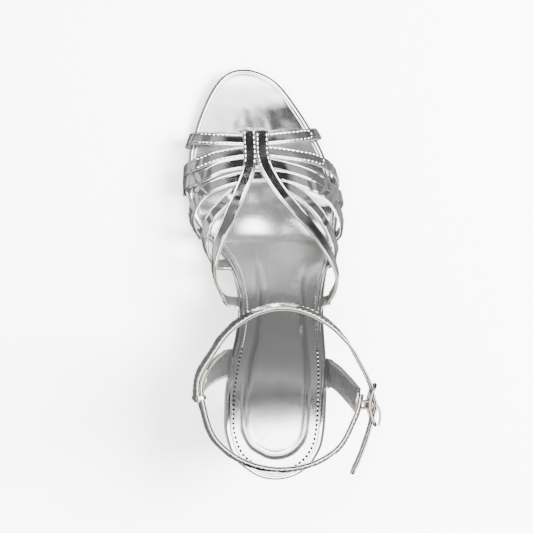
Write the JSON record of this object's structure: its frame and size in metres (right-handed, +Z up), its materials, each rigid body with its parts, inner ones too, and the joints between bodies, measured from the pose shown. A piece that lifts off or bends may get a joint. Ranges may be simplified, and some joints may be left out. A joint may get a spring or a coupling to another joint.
{
  "type": "strappy heeled sandal",
  "caption": "Strappy high-heeled sandal for the right foot, with crossing front straps, an open toe and a buckled ankle strap.",
  "frame": {"origin": "on the floor, under the middle of the shoe's box", "axes": "+X to the outer side of the foot, +Y to the toe, +Z up, the shoe standing on its heel and forefoot"},
  "size_m": [0.0932, 0.2144, 0.1506],
  "materials": {
    "mirror_leather": "mirror silver foil",
    "satin_leather": "satin silver",
    "sole_leather": "smooth",
    "top_piece_rubber": "matt",
    "buckle_metal": "polished"
  },
  "bodies": {
    "root": {"outsole": "sole_leather", "insole": "mirror_leather", "sock": "satin_leather", "heel": "mirror_leather", "heel_top_piece": "top_piece_rubber", "vamp_straps": "mirror_leather", "back_strap": "mirror_leather", "ankle_strap": "mirror_leather", "keeper": "mirror_leather", "buckle_frame": "buckle_metal", "buckle_prong": "buckle_metal"}
  },
  "joints": []
}
